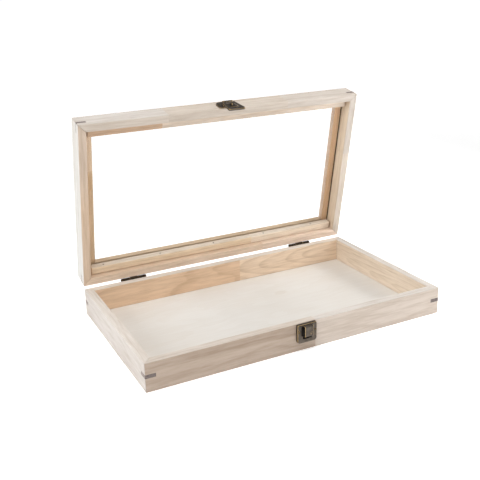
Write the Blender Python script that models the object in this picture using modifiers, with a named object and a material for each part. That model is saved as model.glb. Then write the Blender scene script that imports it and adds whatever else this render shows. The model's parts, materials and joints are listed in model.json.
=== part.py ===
"""Tabletop display case: a shallow mitred wooden box with a glazed lid, standing open.

The lid swings on two small butt hinges behind the back wall, and a metal hasp on the lid's front
rail drops over the tongue of a catch on the base's front wall.  The origin is the centre of the
underside, +X runs to the right along the front, +Y to the back and +Z up.  Metres throughout.
"""
import math

import bmesh
import bpy

MM = 0.001

# Case
WIDTH = 350 * MM
DEPTH = 198 * MM
BASE_HEIGHT = 30.7 * MM
LID_HEIGHT = 24 * MM
WALL = 9.2 * MM
LID_OPEN_ANGLE = math.radians(79)
RIM_GAP = 0.3 * MM          # between the two rims when the lid is shut
JOINT_GAP = 0.2 * MM        # glue line of a mitre or a spline
FIT_GAP = 0.3 * MM          # between pieces that rest on each other

# Bottom panel, let into a rebate
PANEL_THICKNESS = 3 * MM
REBATE_DEPTH = 4.5 * MM

# Lid: an inward lip holds the pane from outside, two beads hold it from inside
LIP_REACH = {"front": 17.9 * MM, "back": 18.6 * MM, "left": 19.4 * MM, "right": 17.9 * MM}
LIP_HEIGHT = 17 * MM
GLASS_THICKNESS = 1.8 * MM
BEAD_FRONT = 6.4 * MM        # height of the beads' free faces above the lid's rim
BEAD_LENGTH = 326 * MM
BEAD_EASING = 0.4 * MM
BRADS_PER_BEAD = 5
BRAD_SPACING = 71 * MM
BRAD_SHIFT = -6 * MM        # the row of brads sits a little to the left
BRAD_LENGTH = 13 * MM
BRAD_HEAD = 0.9 * MM
BRAD_HEAD_DEPTH = 0.5 * MM
BRAD_SHANK = 0.5 * MM
BRAD_HOLE = 0.8 * MM
BRAD_SINK = 0.1 * MM        # how far the head is punched below the bead's face

# Corner splines
KEY_LEG = 11 * MM
KEY_THICKNESS = 4 * MM
BASE_KEY_HEIGHT = 16.5 * MM
LID_KEY_HEIGHT = 7.3 * MM

# Butt hinges: the axis stands behind the back faces, at the parting line
HINGE_X = 114.5 * MM
HINGE_LENGTH = 30 * MM
HINGE_OFFSET = 2.4 * MM
KNUCKLE_RADIUS = 2.0 * MM
KNUCKLE_LENGTH = 9.8 * MM
KNUCKLE_CLEARANCE = 0.3 * MM
KNUCKLE_EASING = 0.1 * MM   # a rolled knuckle is this much shorter than its tab
HINGE_BORE = 1.1 * MM
HINGE_PIN = 0.85 * MM
LEAF_HEIGHT = 9 * MM
LEAF_RELIEF = 2.7 * MM      # from the axis to the leaf's edge beside the other leaf's knuckle
LEAF_CORNER = 0.3 * MM      # the lid leaf's outer corners are cut back this much more
HINGE_NAIL_X = 9 * MM       # from the middle of a leaf
HINGE_NAIL_REACH = 5.9 * MM  # from the axis
PIN_END = 0.2 * MM          # from a hinge's end to the head of its pin
SHEET = 0.8 * MM            # thickness of the pressed sheet metal
BACKING = 0.2 * MM          # between sheet metal and wood

# Nails
SHANK = 0.55 * MM
PILOT = 0.85 * MM
NAIL_LENGTH = 7 * MM
NAIL_DOME = 0.6 * MM
NAIL_SEAT = 0.15 * MM       # between a nail's head and the sheet metal under it
HINGE_NAIL_HEAD = 1.4 * MM
CATCH_NAIL_HEAD = 1.1 * MM
HASP_NAIL_HEAD = 1.2 * MM

# Catch on the base's front wall
CATCH_HALF_WIDTH = 11.4 * MM
CATCH_BOTTOM = 9.6 * MM
CATCH_TOP = 30.1 * MM
CATCH_FACE = 3.6 * MM       # how far its face stands off the wall
CATCH_NAIL_X = 9.4 * MM
CATCH_NAIL_Z = 22.3 * MM
CATCH_NAIL_LENGTH = 9.1 * MM
CATCH_WINDOW_HALF_WIDTH = 7.2 * MM
CATCH_WINDOW_BOTTOM = 17.4 * MM
CATCH_WINDOW_TOP = 28 * MM
CATCH_NOTCH_HALF_WIDTH = 5.3 * MM
CATCH_NOTCH_BOTTOM = 13.8 * MM
TONGUE_HALF_WIDTH = 5 * MM
TONGUE_FACE = 7.6 * MM      # standoff of the tongue's front
TONGUE_LIP = 4.5 * MM       # standoff of the edge where the tongue bends back in
TONGUE_BOTTOM = 17.3 * MM
TONGUE_TOP = 29.3 * MM

# Hasp on the lid's front rail; heights are above the lid's rim
HASP_HALF_WIDTH = 11.5 * MM
HASP_BOTTOM = 0.6 * MM
HASP_TOP = 19 * MM
HASP_PLATE = 1 * MM         # thickness of the nailed plate
HASP_CORNER = 9 * MM        # radius of the plate's upper corners
HASP_NAIL_X = 8.2 * MM
HASP_NAIL_HEIGHT = 10.6 * MM
LUG_X = 5.45 * MM
LUG_THICKNESS = 0.9 * MM
LUG_ROOT = 2.3 * MM         # half the lug's height where it meets the plate
LUG_EYE = 1.7 * MM
LUG_STEPS = 8               # facets of a lug's round end
PIVOT_HEIGHT = 6.2 * MM
PIVOT_STANDOFF = 5.5 * MM
FLAP_FACE = 6.7 * MM        # standoff of the flap's front
FLAP_FLANGE = 4.6 * MM      # standoff of the flange's edge
FLAP_END = -20.2 * MM
FLAP_HALF_WIDTH = 11.2 * MM  # at the free end
FLAP_FLANGE_WIDTH = 0.9 * MM
SHOULDER_HEIGHT = 3.6 * MM
SHOULDER_HALF_WIDTH = 7.4 * MM
NECK_HALF_WIDTH = 4.7 * MM
FLAP_BARREL = 1.5 * MM
FLAP_WINDOW_HALF_WIDTH = 5.3 * MM
FLAP_WINDOW_BOTTOM = -14.1 * MM
FLAP_WINDOW_TOP = 0.9 * MM
HASP_BORE = 0.85 * MM
HASP_PIN = 0.6 * MM
HASP_PIN_HALF_LENGTH = 6.3 * MM

OVERRUN = 1 * MM            # how far a cutter reaches past the face it opens
THROUGH = 40 * MM           # length of the cutter of a small bore

AXIS_Y = DEPTH / 2 + HINGE_OFFSET
AXIS_Z = BASE_HEIGHT + RIM_GAP / 2
UPRIGHT = (math.pi / 2, 0, 0)            # outline plane stands in XZ, its normal towards -Y
FACING_BACK = (-math.pi / 2, 0, 0)       # local +Z points to +Y
SIDE_ON = (math.pi / 2, 0, math.pi / 2)  # outline plane stands in YZ
ALONG_X = (0, math.pi / 2, 0)

for old in list(bpy.data.objects):
    bpy.data.objects.remove(old)

parts = bpy.data.collections.new("display_case")
cutters = bpy.data.collections.new("cutters")
bpy.context.scene.collection.children.link(parts)
bpy.context.scene.collection.children.link(cutters)


# ---------------------------------------------------------------- materials

def principled(name, colour, roughness, metallic=0.0, alpha=1.0):
    material = bpy.data.materials.new(name)
    material.use_nodes = True
    shader = material.node_tree.nodes["Principled BSDF"]
    shader.inputs["Base Color"].default_value = (*colour, 1)
    shader.inputs["Roughness"].default_value = roughness
    shader.inputs["Metallic"].default_value = metallic
    shader.inputs["Alpha"].default_value = alpha
    material.diffuse_color = (*colour, alpha)
    return material


WOOD = principled("pale_wood", (0.69, 0.52, 0.37), 0.6)
PLYWOOD = principled("plywood", (0.79, 0.73, 0.63), 0.65)
KEY_WOOD = principled("dark_spline", (0.2, 0.17, 0.16), 0.7)
GLASS = principled("glass", (0.9, 0.95, 0.94), 0.03, alpha=0.35)
BRONZE = principled("antique_bronze", (0.1, 0.08, 0.06), 0.45, metallic=1)
BRASS = principled("brass_nail", (0.3, 0.22, 0.11), 0.4, metallic=1)


# ---------------------------------------------------------------- shape tools

def new_object(name, mesh, material=None):
    """An object in the parts collection, or in the cutters when it has no material."""
    thing = bpy.data.objects.new(name, mesh)
    if material:
        mesh.materials.append(material)
        parts.objects.link(thing)
    else:
        cutters.objects.link(thing)
        thing.hide_render = True
        thing.display_type = "WIRE"
    return thing


def place(thing, location, rotation=(0, 0, 0), parent=None):
    thing.location = location
    thing.rotation_euler = rotation
    thing.parent = parent
    return thing


def block(name, low, high, material=None):
    """A box given by its lowest and highest corners, in the object's own frame."""
    mesh = bpy.data.meshes.new(name)
    shape = bmesh.new()
    bmesh.ops.create_cube(shape, size=1)
    for vertex in shape.verts:
        vertex.co = [a + (b - a) * (c + 0.5) for a, b, c in zip(low, high, vertex.co)]
    shape.to_mesh(mesh)
    shape.free()
    return new_object(name, mesh, material)


def cylinder(name, radius, length, material=None, segments=24):
    """A cylinder about its own Z axis, centred on its origin."""
    mesh = bpy.data.meshes.new(name)
    shape = bmesh.new()
    bmesh.ops.create_cone(shape, cap_ends=True, segments=segments,
                          radius1=radius, radius2=radius, depth=length)
    shape.to_mesh(mesh)
    shape.free()
    mesh.shade_smooth()
    mesh.set_sharp_from_angle(angle=math.radians(40))
    return new_object(name, mesh, material)


def turned(name, profile, material=None, segments=16):
    """A profile of (radius, height) points, listed from the top down, turned about Z."""
    mesh = bpy.data.meshes.new(name)
    edges = [(i, i + 1) for i in range(len(profile) - 1)]
    mesh.from_pydata([(radius, 0, height) for radius, height in profile], edges, [])
    thing = new_object(name, mesh, material)
    screw = thing.modifiers.new("turn", "SCREW")
    screw.axis = "Z"
    screw.steps = segments
    screw.render_steps = segments
    screw.use_merge_vertices = True
    screw.merge_threshold = 0.00001
    screw.use_smooth_shade = True
    return thing


def extruded_mesh(name, outline, thickness):
    """The mesh of a flat outline thickened evenly about its own plane."""
    curve = bpy.data.curves.new(name, "CURVE")
    curve.dimensions = "2D"
    curve.fill_mode = "BOTH"
    curve.extrude = thickness / 2
    spline = curve.splines.new("POLY")
    spline.points.add(len(outline) - 1)
    for point, (across, up) in zip(spline.points, outline):
        point.co = (across, up, 0, 1)
    spline.use_cyclic_u = True
    guide = bpy.data.objects.new(name, curve)
    cutters.objects.link(guide)
    depsgraph = bpy.context.evaluated_depsgraph_get()
    mesh = bpy.data.meshes.new_from_object(guide.evaluated_get(depsgraph))
    bpy.data.objects.remove(guide)
    bpy.data.curves.remove(curve)
    shape = bmesh.new()
    shape.from_mesh(mesh)
    bmesh.ops.remove_doubles(shape, verts=shape.verts, dist=0.000001)
    bmesh.ops.dissolve_limit(shape, angle_limit=math.radians(1), verts=shape.verts, edges=shape.edges)
    bmesh.ops.recalc_face_normals(shape, faces=shape.faces)
    shape.to_mesh(mesh)
    shape.free()
    mesh.materials.clear()
    return mesh


def extruded(name, outline, thickness, material=None):
    return new_object(name, extruded_mesh(name, outline, thickness), material)


def rounded(corners, radii, steps=4):
    """An outline whose corners are replaced by arcs of the given radii; 0 keeps a corner sharp."""
    outline = []
    count = len(corners)
    for i, ((x, y), radius) in enumerate(zip(corners, radii)):
        if radius == 0:
            outline.append((x, y))
            continue
        (px, py), (nx, ny) = corners[i - 1], corners[(i + 1) % count]
        to_previous = math.atan2(py - y, px - x)
        to_next = math.atan2(ny - y, nx - x)
        turn = (to_next - to_previous + math.pi) % (2 * math.pi) - math.pi
        bisector = to_previous + turn / 2
        reach = radius / math.sin(abs(turn) / 2)
        cx, cy = x + reach * math.cos(bisector), y + reach * math.sin(bisector)
        side = math.copysign(math.pi / 2, turn)
        start, sweep = to_previous - side, math.copysign(math.pi - abs(turn), -turn)
        for step in range(steps + 1):
            angle = start + sweep * step / steps
            outline.append((cx + radius * math.cos(angle), cy + radius * math.sin(angle)))
    return outline


def boolean(target, tool, operation="DIFFERENCE"):
    modifier = target.modifiers.new(tool.name, "BOOLEAN")
    modifier.operation = operation
    modifier.solver = "EXACT"
    modifier.object = tool


# ---------------------------------------------------------------- frames

def lid_point(x, reach, height):
    """A point of the shut lid in the lid's frame: reach is forward from the lid's back face,
    height above its rim."""
    return (x, -(HINGE_OFFSET + reach), RIM_GAP / 2 + height)


lid_frame = bpy.data.objects.new("lid_frame", None)
bpy.context.scene.collection.objects.link(lid_frame)
place(lid_frame, (0, AXIS_Y, AXIS_Z), (-LID_OPEN_ANGLE, 0, 0))

SIDES = {  # name: (outward x, outward y, turn about Z of a rail whose depth runs along local +Y)
    "front": (0, -1, 0),
    "right": (1, 0, math.pi / 2),
    "back": (0, 1, math.pi),
    "left": (-1, 0, -math.pi / 2),
}
CORNERS = [("front", "left"), ("front", "right"), ("back", "left"), ("back", "right")]


# ---------------------------------------------------------------- wooden frames

def mitred_rail(name, section, length):
    """A rail of the given (depth, height) section whose ends are cut back at 45 degrees."""
    mesh = extruded_mesh(name, section, length)
    relief = JOINT_GAP / math.sqrt(2)
    for vertex in mesh.vertices:
        depth, height, along = vertex.co
        vertex.co = (along - math.copysign(depth + relief, along), depth, height)
    return new_object(name, mesh, WOOD)


def frame_rails(prefix, suffix, sections, centre, parent):
    """The four rails of a frame, each with the section listed for its side."""
    rails = {}
    for side, (x, y, turn) in SIDES.items():
        length = WIDTH if x == 0 else DEPTH
        rail = mitred_rail(f"{prefix}_{side}_{suffix}", sections[side], length)
        place(rail, (centre[0] + x * WIDTH / 2, centre[1] + y * DEPTH / 2, centre[2]),
              (0, 0, turn), parent)
        rails[side] = rail
    return rails


def key_outline(leg, overrun):
    """A right triangle that fills a corner, its right angle outwards; overrun lets a cutter
    break through the corner's faces."""
    return [(-overrun, -overrun), (leg + overrun, -overrun), (-overrun, leg + overrun)]


def corner_keys(prefix, rails, centre, height, parent):
    for front_or_back, left_or_right in CORNERS:
        y = SIDES[front_or_back][1]
        x = SIDES[left_or_right][0]
        turn = {(-1, -1): 0, (1, -1): 1, (1, 1): 2, (-1, 1): 3}[x, y] * math.pi / 2
        corner = (centre[0] + x * WIDTH / 2, centre[1] + y * DEPTH / 2, centre[2] + height)
        name = f"{prefix}_key_{front_or_back}_{left_or_right}"
        key = extruded(name, key_outline(KEY_LEG, 0), KEY_THICKNESS, KEY_WOOD)
        place(key, corner, (0, 0, turn), parent)
        slot_leg = KEY_LEG + JOINT_GAP * math.sqrt(2)
        slot = extruded(name + "_slot", key_outline(slot_leg, OVERRUN), KEY_THICKNESS + 2 * JOINT_GAP)
        place(slot, corner, (0, 0, turn), parent)
        boolean(rails[front_or_back], slot)
        boolean(rails[left_or_right], slot)


# Base: four walls, four splines and the bottom
wall_section = [
    (0, 0), (WALL - REBATE_DEPTH, 0), (WALL - REBATE_DEPTH, PANEL_THICKNESS + FIT_GAP),
    (WALL, PANEL_THICKNESS + FIT_GAP), (WALL, BASE_HEIGHT), (0, BASE_HEIGHT),
]
base_walls = frame_rails("base", "wall", dict.fromkeys(SIDES, wall_section), (0, 0, 0), None)
corner_keys("base", base_walls, (0, 0, 0), BASE_KEY_HEIGHT, None)
panel_inset = WALL - REBATE_DEPTH + FIT_GAP
block("bottom_panel", (panel_inset - WIDTH / 2, panel_inset - DEPTH / 2, 0),
      (WIDTH / 2 - panel_inset, DEPTH / 2 - panel_inset, PANEL_THICKNESS), PLYWOOD)

# Lid: four rails with a lip, four splines
lid_centre = lid_point(0, DEPTH / 2, 0)
rail_sections = {side: [(0, 0), (WALL, 0), (WALL, LIP_HEIGHT), (reach, LIP_HEIGHT),
                        (reach, LID_HEIGHT), (0, LID_HEIGHT)]
                 for side, reach in LIP_REACH.items()}
lid_rails = frame_rails("lid", "rail", rail_sections, lid_centre, lid_frame)
corner_keys("lid", lid_rails, lid_centre, LID_KEY_HEIGHT, lid_frame)


# ---------------------------------------------------------------- glazing

pane_top = LIP_HEIGHT - FIT_GAP
pane_low = lid_point(WALL + FIT_GAP - WIDTH / 2, DEPTH - WALL - FIT_GAP, pane_top - GLASS_THICKNESS)
pane_high = lid_point(WIDTH / 2 - WALL - FIT_GAP, WALL + FIT_GAP, pane_top)
place(block("glass_pane", pane_low, pane_high, GLASS), (0, 0, 0), parent=lid_frame)

bead_back = pane_top - GLASS_THICKNESS - FIT_GAP


def brad(name, location, rotation):
    """A thin brad whose flat head is punched flush with the wood; its head is at its origin."""
    point = 1 * MM
    profile = [(0, 0), (BRAD_HEAD, 0), (BRAD_HEAD, -BRAD_HEAD_DEPTH), (BRAD_SHANK, -BRAD_HEAD_DEPTH),
               (BRAD_SHANK, point - BRAD_LENGTH), (0, -BRAD_LENGTH)]
    return place(turned(name, profile, BRASS), location, rotation, lid_frame)


def glazing_bead(side, inner_reach, towards_front):
    """A square bead along a long rail, held by brads driven from the window side."""
    width = LIP_REACH[side] - WALL - 2 * FIT_GAP
    reach = (inner_reach, inner_reach + towards_front * width)
    low = lid_point(-BEAD_LENGTH / 2, max(reach), BEAD_FRONT)
    high = lid_point(BEAD_LENGTH / 2, min(reach), bead_back)
    bead = place(block(f"glazing_bead_{side}", low, high, WOOD), (0, 0, 0), parent=lid_frame)
    bevel = bead.modifiers.new("eased_edges", "BEVEL")
    bevel.width = BEAD_EASING
    bevel.segments = 1
    height = (BEAD_FRONT + bead_back) / 2
    counterbore = BRAD_HEAD + FIT_GAP
    shoulder = -(BRAD_HEAD_DEPTH + FIT_GAP)
    hole_profile = [(0, 2 * OVERRUN), (counterbore, 2 * OVERRUN), (counterbore, shoulder),
                    (BRAD_HOLE, shoulder), (BRAD_HOLE, -BRAD_LENGTH - FIT_GAP),
                    (0, -BRAD_LENGTH - FIT_GAP)]
    rotation = UPRIGHT if towards_front > 0 else FACING_BACK
    for i in range(BRADS_PER_BEAD):
        x = (i - (BRADS_PER_BEAD - 1) / 2) * BRAD_SPACING + BRAD_SHIFT
        head_reach = reach[1] - towards_front * BRAD_SINK
        brad(f"bead_brad_{side}_{i + 1}", lid_point(x, head_reach, height), rotation)
        hole = turned(f"brad_hole_{side}_{i + 1}", hole_profile)
        place(hole, lid_point(x, head_reach, height), rotation, lid_frame)
        boolean(bead, hole)
        boolean(lid_rails[side], hole)


glazing_bead("back", WALL + FIT_GAP, 1)
glazing_bead("front", DEPTH - WALL - FIT_GAP, -1)


# ---------------------------------------------------------------- nails

def nail(name, location, rotation, length, head_radius, parent, pierced):
    """A round-headed nail whose head sits on its origin, and its holes in the pierced pieces."""
    point = 1.2 * MM
    profile = [(0, NAIL_DOME), (0.5 * head_radius, 0.85 * NAIL_DOME),
               (0.85 * head_radius, 0.5 * NAIL_DOME), (head_radius, 0.1 * NAIL_DOME),
               (head_radius, 0), (SHANK, 0), (SHANK, point - length), (0, -length)]
    place(turned(name, profile, BRASS), location, rotation, parent)
    hole = cylinder(name + "_hole", PILOT, 2 * (length + FIT_GAP), segments=12)
    place(hole, location, rotation, parent)
    for piece in pierced:
        boolean(piece, hole)


# ---------------------------------------------------------------- hinges

def knuckle_spans(own_ends):
    """The X spans of a leaf's knuckles: the base leaf has the two ends, the lid leaf the middle."""
    half = HINGE_LENGTH / 2
    if own_ends:
        return [(-half, KNUCKLE_LENGTH - half), (half - KNUCKLE_LENGTH, half)]
    inner = half - KNUCKLE_LENGTH - KNUCKLE_CLEARANCE
    return [(-inner, inner)]


def leaf_outline(spans, direction):
    """The leaf in (x, height): a plate whose edge steps up to the axis at each of its knuckles."""
    half = HINGE_LENGTH / 2
    edge = []
    for start, end in spans:
        edge += [(start, LEAF_RELIEF), (start, 0), (end, 0), (end, LEAF_RELIEF)]
    if spans[0][0] == -half:
        edge = edge[1:-1]
    else:
        eased = LEAF_RELIEF + LEAF_CORNER
        edge = [(-half, eased)] + edge + [(half, eased)]
    outline = edge + [(half, LEAF_HEIGHT), (-half, LEAF_HEIGHT)]
    return [(x, direction * height) for x, height in outline]


def hinge_leaf(name, x, spans, direction, standoff_y, axis_location, parent):
    leaf = extruded(name, leaf_outline(spans, direction), SHEET, BRONZE)
    place(leaf, (x, standoff_y, axis_location[2]), UPRIGHT, parent)
    for i, (start, end) in enumerate(spans):
        barrel = cylinder(f"{name}_barrel_{i}", KNUCKLE_RADIUS, end - start - KNUCKLE_EASING)
        place(barrel, (x + (start + end) / 2, axis_location[1], axis_location[2]), ALONG_X, parent)
        boolean(leaf, barrel, "UNION")
    bore = cylinder(name + "_bore", HINGE_BORE, 2 * HINGE_LENGTH)
    place(bore, (x, axis_location[1], axis_location[2]), ALONG_X, parent)
    boolean(leaf, bore)
    return leaf


def hinge(side, x):
    leaf_centre = BACKING + SHEET / 2
    base_leaf = hinge_leaf(f"hinge_{side}_base_leaf", x, knuckle_spans(True), -1,
                           DEPTH / 2 + leaf_centre, (x, AXIS_Y, AXIS_Z), None)
    lid_leaf = hinge_leaf(f"hinge_{side}_lid_leaf", x, knuckle_spans(False), 1,
                          leaf_centre - HINGE_OFFSET, (x, 0, 0), lid_frame)
    pin_half = HINGE_LENGTH / 2 + PIN_END
    profile = [(0, pin_half + 0.7 * MM), (0.9 * MM, pin_half + 0.5 * MM), (1.5 * MM, pin_half),
               (HINGE_PIN, pin_half)]
    profile += [(radius, -height) for radius, height in reversed(profile)]
    place(turned(f"hinge_{side}_pin", profile, BRONZE, 24), (x, AXIS_Y, AXIS_Z), ALONG_X)
    seat = BACKING + SHEET + NAIL_SEAT
    for i, offset in enumerate((-HINGE_NAIL_X, HINGE_NAIL_X)):
        nail(f"hinge_{side}_base_nail_{i + 1}",
             (x + offset, DEPTH / 2 + seat, AXIS_Z - HINGE_NAIL_REACH), FACING_BACK, NAIL_LENGTH,
             HINGE_NAIL_HEAD, None, [base_leaf, base_walls["back"]])
        nail(f"hinge_{side}_lid_nail_{i + 1}",
             (x + offset, seat - HINGE_OFFSET, HINGE_NAIL_REACH), FACING_BACK, NAIL_LENGTH,
             HINGE_NAIL_HEAD, lid_frame, [lid_leaf, lid_rails["back"]])


hinge("left", -HINGE_X)
hinge("right", HINGE_X)


# ---------------------------------------------------------------- catch

def in_wall_plane(name, outline, near, far, face, height, parent, material=None):
    """An (x, height) outline in front of a wall, filling standoffs near to far from its face."""
    piece = extruded(name, outline, far - near, material)
    return place(piece, (0, face - (near + far) / 2, height), UPRIGHT, parent)


def make_catch():
    """A pressed pan with a window, from whose top edge a tongue bends out, down and back in."""
    face = -DEPTH / 2
    inset = SHEET
    half, top, bottom = CATCH_HALF_WIDTH, CATCH_TOP, CATCH_BOTTOM
    corners = [(-half, bottom), (half, bottom), (half, top), (-half, top)]
    catch = in_wall_plane("catch_plate", rounded(corners, (3 * MM, 3 * MM, 0.8 * MM, 0.8 * MM)),
                          BACKING, CATCH_FACE, face, 0, None, BRONZE)
    inner = [(-half + inset, bottom + inset), (half - inset, bottom + inset),
             (half - inset, top - inset), (-half + inset, top - inset)]
    hollow = in_wall_plane("catch_hollow", rounded(inner, (2.2 * MM, 2.2 * MM, 0, 0)),
                           -OVERRUN, CATCH_FACE - SHEET, face, 0, None)
    boolean(catch, hollow)
    half, top, step = CATCH_WINDOW_HALF_WIDTH, CATCH_WINDOW_TOP, CATCH_WINDOW_BOTTOM
    notch_half, notch_bottom = CATCH_NOTCH_HALF_WIDTH, CATCH_NOTCH_BOTTOM
    window = [(-notch_half, notch_bottom), (notch_half, notch_bottom), (notch_half, step),
              (half, step), (half, top), (-half, top), (-half, step), (-notch_half, step)]
    boolean(catch, in_wall_plane("catch_window", window, 0, 2 * CATCH_FACE, face, 0, None))
    root = CATCH_FACE - 0.5 * SHEET
    outer = [(root, TONGUE_TOP), (TONGUE_FACE, TONGUE_TOP), (TONGUE_FACE, TONGUE_BOTTOM),
             (TONGUE_LIP, TONGUE_BOTTOM)]
    inner = [(TONGUE_LIP, TONGUE_BOTTOM + SHEET), (TONGUE_FACE - SHEET, TONGUE_BOTTOM + SHEET),
             (TONGUE_FACE - SHEET, TONGUE_TOP - SHEET), (root, TONGUE_TOP - SHEET)]
    radii = (0, 1.2 * MM, 1.2 * MM, 0, 0, 0.4 * MM, 0.4 * MM, 0)
    outline = [(-standoff, height) for standoff, height in rounded(outer + inner, radii)]
    tongue = extruded("catch_tongue", outline, 2 * TONGUE_HALF_WIDTH)
    place(tongue, (0, face, 0), SIDE_ON)
    boolean(catch, tongue, "UNION")
    for side, x in (("left", -CATCH_NAIL_X), ("right", CATCH_NAIL_X)):
        nail(f"catch_nail_{side}", (x, face - CATCH_FACE - NAIL_SEAT, CATCH_NAIL_Z), UPRIGHT,
             CATCH_NAIL_LENGTH, CATCH_NAIL_HEAD, None, [catch, base_walls["front"]])


make_catch()


# ---------------------------------------------------------------- hasp

def make_hasp_plate(face, rim):
    """A nailed plate with two lugs that carry the flap's pin."""
    half = HASP_HALF_WIDTH
    corners = [(-half, HASP_BOTTOM), (half, HASP_BOTTOM), (half, HASP_TOP), (-half, HASP_TOP)]
    outline = rounded(corners, (0.8 * MM, 0.8 * MM, HASP_CORNER, HASP_CORNER))
    plate = in_wall_plane("hasp_plate", outline, BACKING, BACKING + HASP_PLATE, face, rim,
                          lid_frame, BRONZE)
    root = BACKING + 0.4 * HASP_PLATE
    lug = [(-root, PIVOT_HEIGHT - LUG_ROOT)]
    for step in range(LUG_STEPS + 1):
        angle = math.pi * (step / LUG_STEPS - 0.5)
        lug.append((-PIVOT_STANDOFF - LUG_EYE * math.cos(angle),
                    PIVOT_HEIGHT + LUG_EYE * math.sin(angle)))
    lug.append((-root, PIVOT_HEIGHT + LUG_ROOT))
    for side, x in (("left", -LUG_X), ("right", LUG_X)):
        ear = extruded(f"hasp_lug_{side}", lug, LUG_THICKNESS)
        place(ear, (x, face, rim), SIDE_ON, lid_frame)
        boolean(plate, ear, "UNION")
    bore = cylinder("hasp_plate_bore", HASP_BORE, THROUGH, segments=16)
    place(bore, (0, face - PIVOT_STANDOFF, rim + PIVOT_HEIGHT), ALONG_X, lid_frame)
    boolean(plate, bore)
    seat = BACKING + HASP_PLATE + NAIL_SEAT
    for side, x in (("left", -HASP_NAIL_X), ("right", HASP_NAIL_X)):
        nail(f"hasp_nail_{side}", (x, face - seat, rim + HASP_NAIL_HEIGHT), UPRIGHT,
             NAIL_LENGTH, HASP_NAIL_HEAD, lid_frame, [plate, lid_rails["front"]])


def make_hasp_flap(pivot):
    """The swinging flap: a tapered pan open at the back, with a window for the catch's tongue.

    Outlines are in (x, height above the lid's rim), standoffs from the lid's front face, both
    moved so that the flap's origin is on its pin."""
    def section(name, outline, near, far, material=None):
        moved = [(x, height - PIVOT_HEIGHT) for x, height in outline]
        piece = extruded(name, moved, far - near, material)
        return place(piece, (0, PIVOT_STANDOFF - (near + far) / 2, 0), UPRIGHT, pivot)

    shoulder, shoulder_half = SHOULDER_HEIGHT, SHOULDER_HALF_WIDTH
    neck = NECK_HALF_WIDTH
    outer = [(-FLAP_HALF_WIDTH, FLAP_END), (FLAP_HALF_WIDTH, FLAP_END), (shoulder_half, shoulder),
             (neck, shoulder), (neck, PIVOT_HEIGHT), (-neck, PIVOT_HEIGHT), (-neck, shoulder),
             (-shoulder_half, shoulder)]
    flap = section("hasp_flap", rounded(outer, (2.5 * MM, 2.5 * MM, 0, 0, 0, 0, 0, 0)),
                   FLAP_FLANGE, FLAP_FACE, BRONZE)
    wide, narrow = FLAP_HALF_WIDTH - FLAP_FLANGE_WIDTH, shoulder_half - FLAP_FLANGE_WIDTH
    floor = [(-wide, FLAP_END + SHEET), (wide, FLAP_END + SHEET), (narrow, shoulder - SHEET),
             (-narrow, shoulder - SHEET)]
    boolean(flap, section("flap_hollow", rounded(floor, (1.7 * MM, 1.7 * MM, 0, 0)),
                          FLAP_FLANGE - OVERRUN, FLAP_FACE - SHEET))
    half, bottom, top = FLAP_WINDOW_HALF_WIDTH, FLAP_WINDOW_BOTTOM, FLAP_WINDOW_TOP
    window = [(-half, bottom), (half, bottom), (half, top), (-half, top)]
    boolean(flap, section("flap_window", window, 0, 2 * FLAP_FACE))
    barrel = cylinder("flap_barrel", FLAP_BARREL, 2 * neck)
    boolean(flap, place(barrel, (0, 0, 0), ALONG_X, pivot), "UNION")
    bore = cylinder("flap_bore", HASP_BORE, THROUGH, segments=16)
    boolean(flap, place(bore, (0, 0, 0), ALONG_X, pivot))


def make_hasp():
    _, face, rim = lid_point(0, DEPTH, 0)
    make_hasp_plate(face, rim)
    pivot = bpy.data.objects.new("hasp_pivot", None)
    bpy.context.scene.collection.objects.link(pivot)
    place(pivot, (0, face - PIVOT_STANDOFF, rim + PIVOT_HEIGHT), parent=lid_frame)
    make_hasp_flap(pivot)
    half = HASP_PIN_HALF_LENGTH
    profile = [(0, half + 0.4 * MM), (0.7 * MM, half + 0.3 * MM), (1.1 * MM, half), (HASP_PIN, half)]
    profile += [(radius, -height) for radius, height in reversed(profile)]
    place(turned("hasp_pin", profile, BRONZE), (0, 0, 0), ALONG_X, pivot)


make_hasp()
bpy.context.view_layer.update()
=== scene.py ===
"""The looks of the tabletop display case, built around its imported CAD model.

Every board, fitting, nail and pane is modelled from the box of the CAD node that it stands for,
in the frame of the body that carries it.  The base's frame is the world.  The lid's frame has its
origin on the hinge axis and leans back by the angle at which the lid stands open, so that in it
the lid lies shut, its rim down.  Lengths are metres, angles radians.
"""
import json
import math
import random

import bmesh
import bpy
from mathutils import Matrix, Vector


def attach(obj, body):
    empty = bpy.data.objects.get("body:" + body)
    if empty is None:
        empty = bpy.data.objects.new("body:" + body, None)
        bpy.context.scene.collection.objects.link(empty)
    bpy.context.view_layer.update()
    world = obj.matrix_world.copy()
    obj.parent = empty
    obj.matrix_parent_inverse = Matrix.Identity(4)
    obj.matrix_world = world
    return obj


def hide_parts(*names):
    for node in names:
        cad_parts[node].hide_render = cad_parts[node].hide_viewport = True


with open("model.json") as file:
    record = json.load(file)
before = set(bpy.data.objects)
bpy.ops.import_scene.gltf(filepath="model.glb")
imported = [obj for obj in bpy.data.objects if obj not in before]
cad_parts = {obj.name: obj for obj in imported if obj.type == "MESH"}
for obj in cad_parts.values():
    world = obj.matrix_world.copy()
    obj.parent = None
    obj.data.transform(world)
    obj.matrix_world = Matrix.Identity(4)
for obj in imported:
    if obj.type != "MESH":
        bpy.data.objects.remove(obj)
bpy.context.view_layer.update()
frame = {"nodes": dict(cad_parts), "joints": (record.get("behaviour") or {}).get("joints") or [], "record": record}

MM = 0.001

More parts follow.
